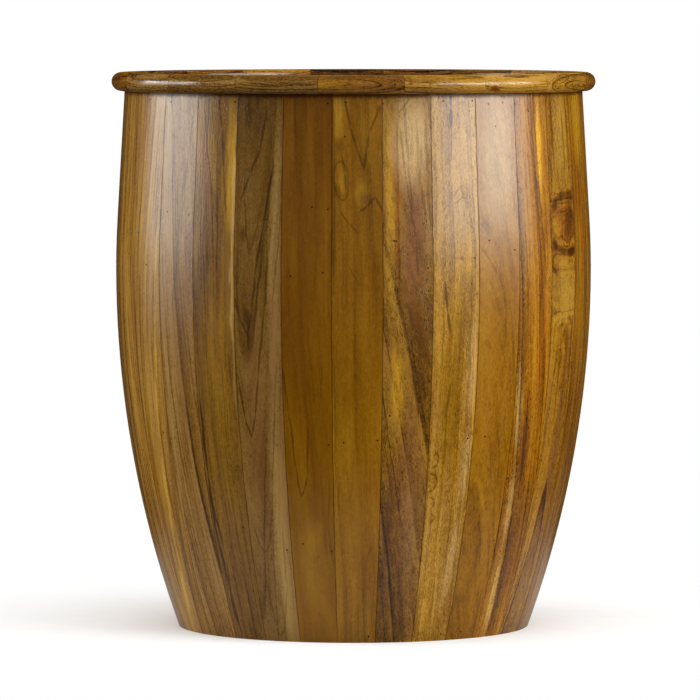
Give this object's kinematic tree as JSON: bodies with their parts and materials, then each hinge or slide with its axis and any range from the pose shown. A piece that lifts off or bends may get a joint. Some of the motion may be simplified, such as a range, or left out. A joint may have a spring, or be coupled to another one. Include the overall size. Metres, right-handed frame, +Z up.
{
  "type": "drum side table",
  "caption": "Round drum side table of upright lacquered staves, fullest above the middle, with a half-round segmented rim standing proud of a shallow tray top.",
  "frame": {"origin": "on the floor at the centre of the drum", "axes": "+Z up the drum's axis, -Y towards the front, +X to the right seen from the front"},
  "size_m": [0.4432, 0.4432, 0.508],
  "materials": {
    "stave_wood": "lacquered teak, satin gloss",
    "rim_wood": "lacquered teak, satin gloss",
    "panel_wood": "lacquered teak, satin gloss",
    "hoop_wood": "sawn teak, unlacquered",
    "batten_wood": "planed teak, unlacquered",
    "screw_steel": "zinc-plated steel"
  },
  "bodies": {
    "root": {"stave_01": "stave_wood", "stave_02": "stave_wood", "stave_03": "stave_wood", "stave_04": "stave_wood", "stave_05": "stave_wood", "stave_06": "stave_wood", "stave_07": "stave_wood", "stave_08": "stave_wood", "stave_09": "stave_wood", "stave_10": "stave_wood", "stave_11": "stave_wood", "stave_12": "stave_wood", "stave_13": "stave_wood", "stave_14": "stave_wood", "stave_15": "stave_wood", "stave_16": "stave_wood", "stave_17": "stave_wood", "stave_18": "stave_wood", "stave_19": "stave_wood", "stave_20": "stave_wood", "stave_21": "stave_wood", "stave_22": "stave_wood", "stave_23": "stave_wood", "stave_24": "stave_wood", "stave_25": "stave_wood", "stave_26": "stave_wood", "stave_27": "stave_wood", "stave_28": "stave_wood", "stave_29": "stave_wood", "stave_30": "stave_wood", "rim_segment_01": "rim_wood", "rim_segment_02": "rim_wood", "rim_segment_03": "rim_wood", "rim_segment_04": "rim_wood", "rim_segment_05": "rim_wood", "rim_segment_06": "rim_wood", "rim_segment_07": "rim_wood", "rim_segment_08": "rim_wood", "rim_segment_09": "rim_wood", "rim_segment_10": "rim_wood", "rim_segment_11": "rim_wood", "rim_segment_12": "rim_wood", "rim_segment_13": "rim_wood", "rim_segment_14": "rim_wood", "rim_segment_15": "rim_wood", "rim_segment_16": "rim_wood", "rim_segment_17": "rim_wood", "rim_segment_18": "rim_wood", "top_board_1": "panel_wood", "top_board_2": "panel_wood", "top_board_3": "panel_wood", "top_board_4": "panel_wood", "top_board_5": "panel_wood", "top_hoop": "hoop_wood", "upper_hoop": "hoop_wood", "lower_hoop": "hoop_wood", "foot_hoop": "hoop_wood", "batten_front": "batten_wood", "batten_back": "batten_wood", "batten_screws": "screw_steel"}
  },
  "joints": []
}
